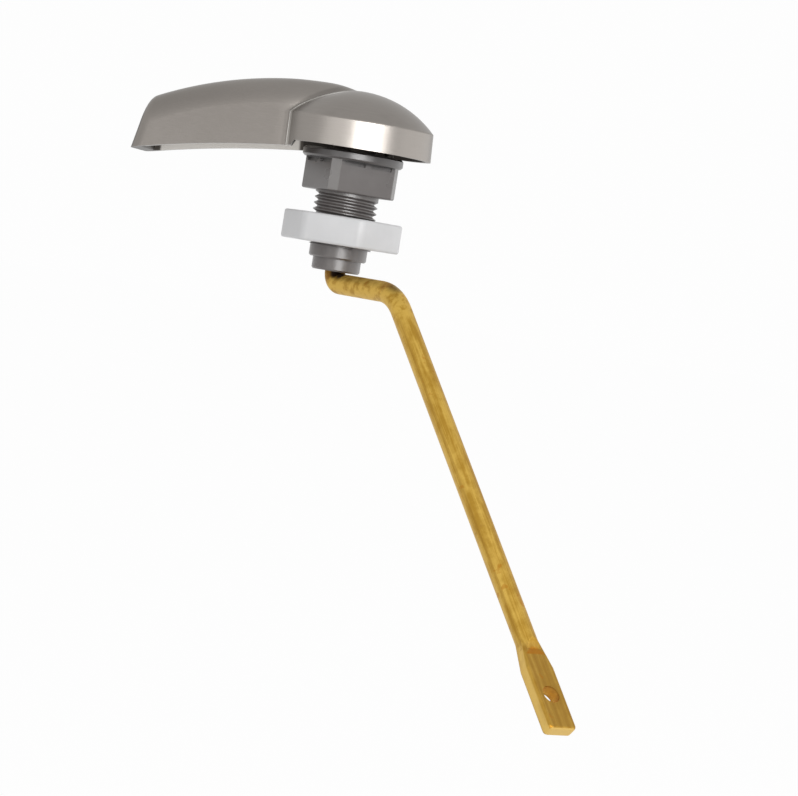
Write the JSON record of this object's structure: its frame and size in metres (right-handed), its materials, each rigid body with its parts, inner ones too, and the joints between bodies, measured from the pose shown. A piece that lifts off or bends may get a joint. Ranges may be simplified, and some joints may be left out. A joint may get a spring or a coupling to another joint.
{
  "type": "cistern lever",
  "caption": "Angle-mount cistern lever: domed arched handle and bent brass rod turning in a threaded square-shank bushing clamped by a hexagonal nut.",
  "frame": {"origin": "on the turning axis, in the plane of the flange's underside that seats on the cistern wall", "axes": "+Z along the turning axis, out of the cistern towards the handle; X and Y along the faces of the square shank, +Y up the wall"},
  "size_m": [0.1559, 0.0701, 0.1396],
  "materials": {
    "brushed_nickel": "satin nickel plating over a die-cast shell, brushed round the hub",
    "rod_brass": "raw drawn brass with brown tarnish at bends, shoulder and hole",
    "grey_moulding": "moulded grey plastic, slightly satin",
    "white_moulding": "moulded white plastic"
  },
  "bodies": {
    "fixed": {"bushing": "grey_moulding"},
    "lever": {"handle": "brushed_nickel", "lever_rod": "rod_brass"},
    "nut": {"mounting_nut": "white_moulding"}
  },
  "joints": [
    {"name": "lever_turn", "type": "hinge", "parent": "fixed", "child": "lever", "pos_m": [0, 0, 0], "axis": [0, 0, 1], "range_deg": [-50, 0]},
    {"name": "nut_travel", "type": "slide", "parent": "fixed", "child": "nut", "axis": [0, 0, 1], "range_m": [-0.006, 0.0056]}
  ]
}
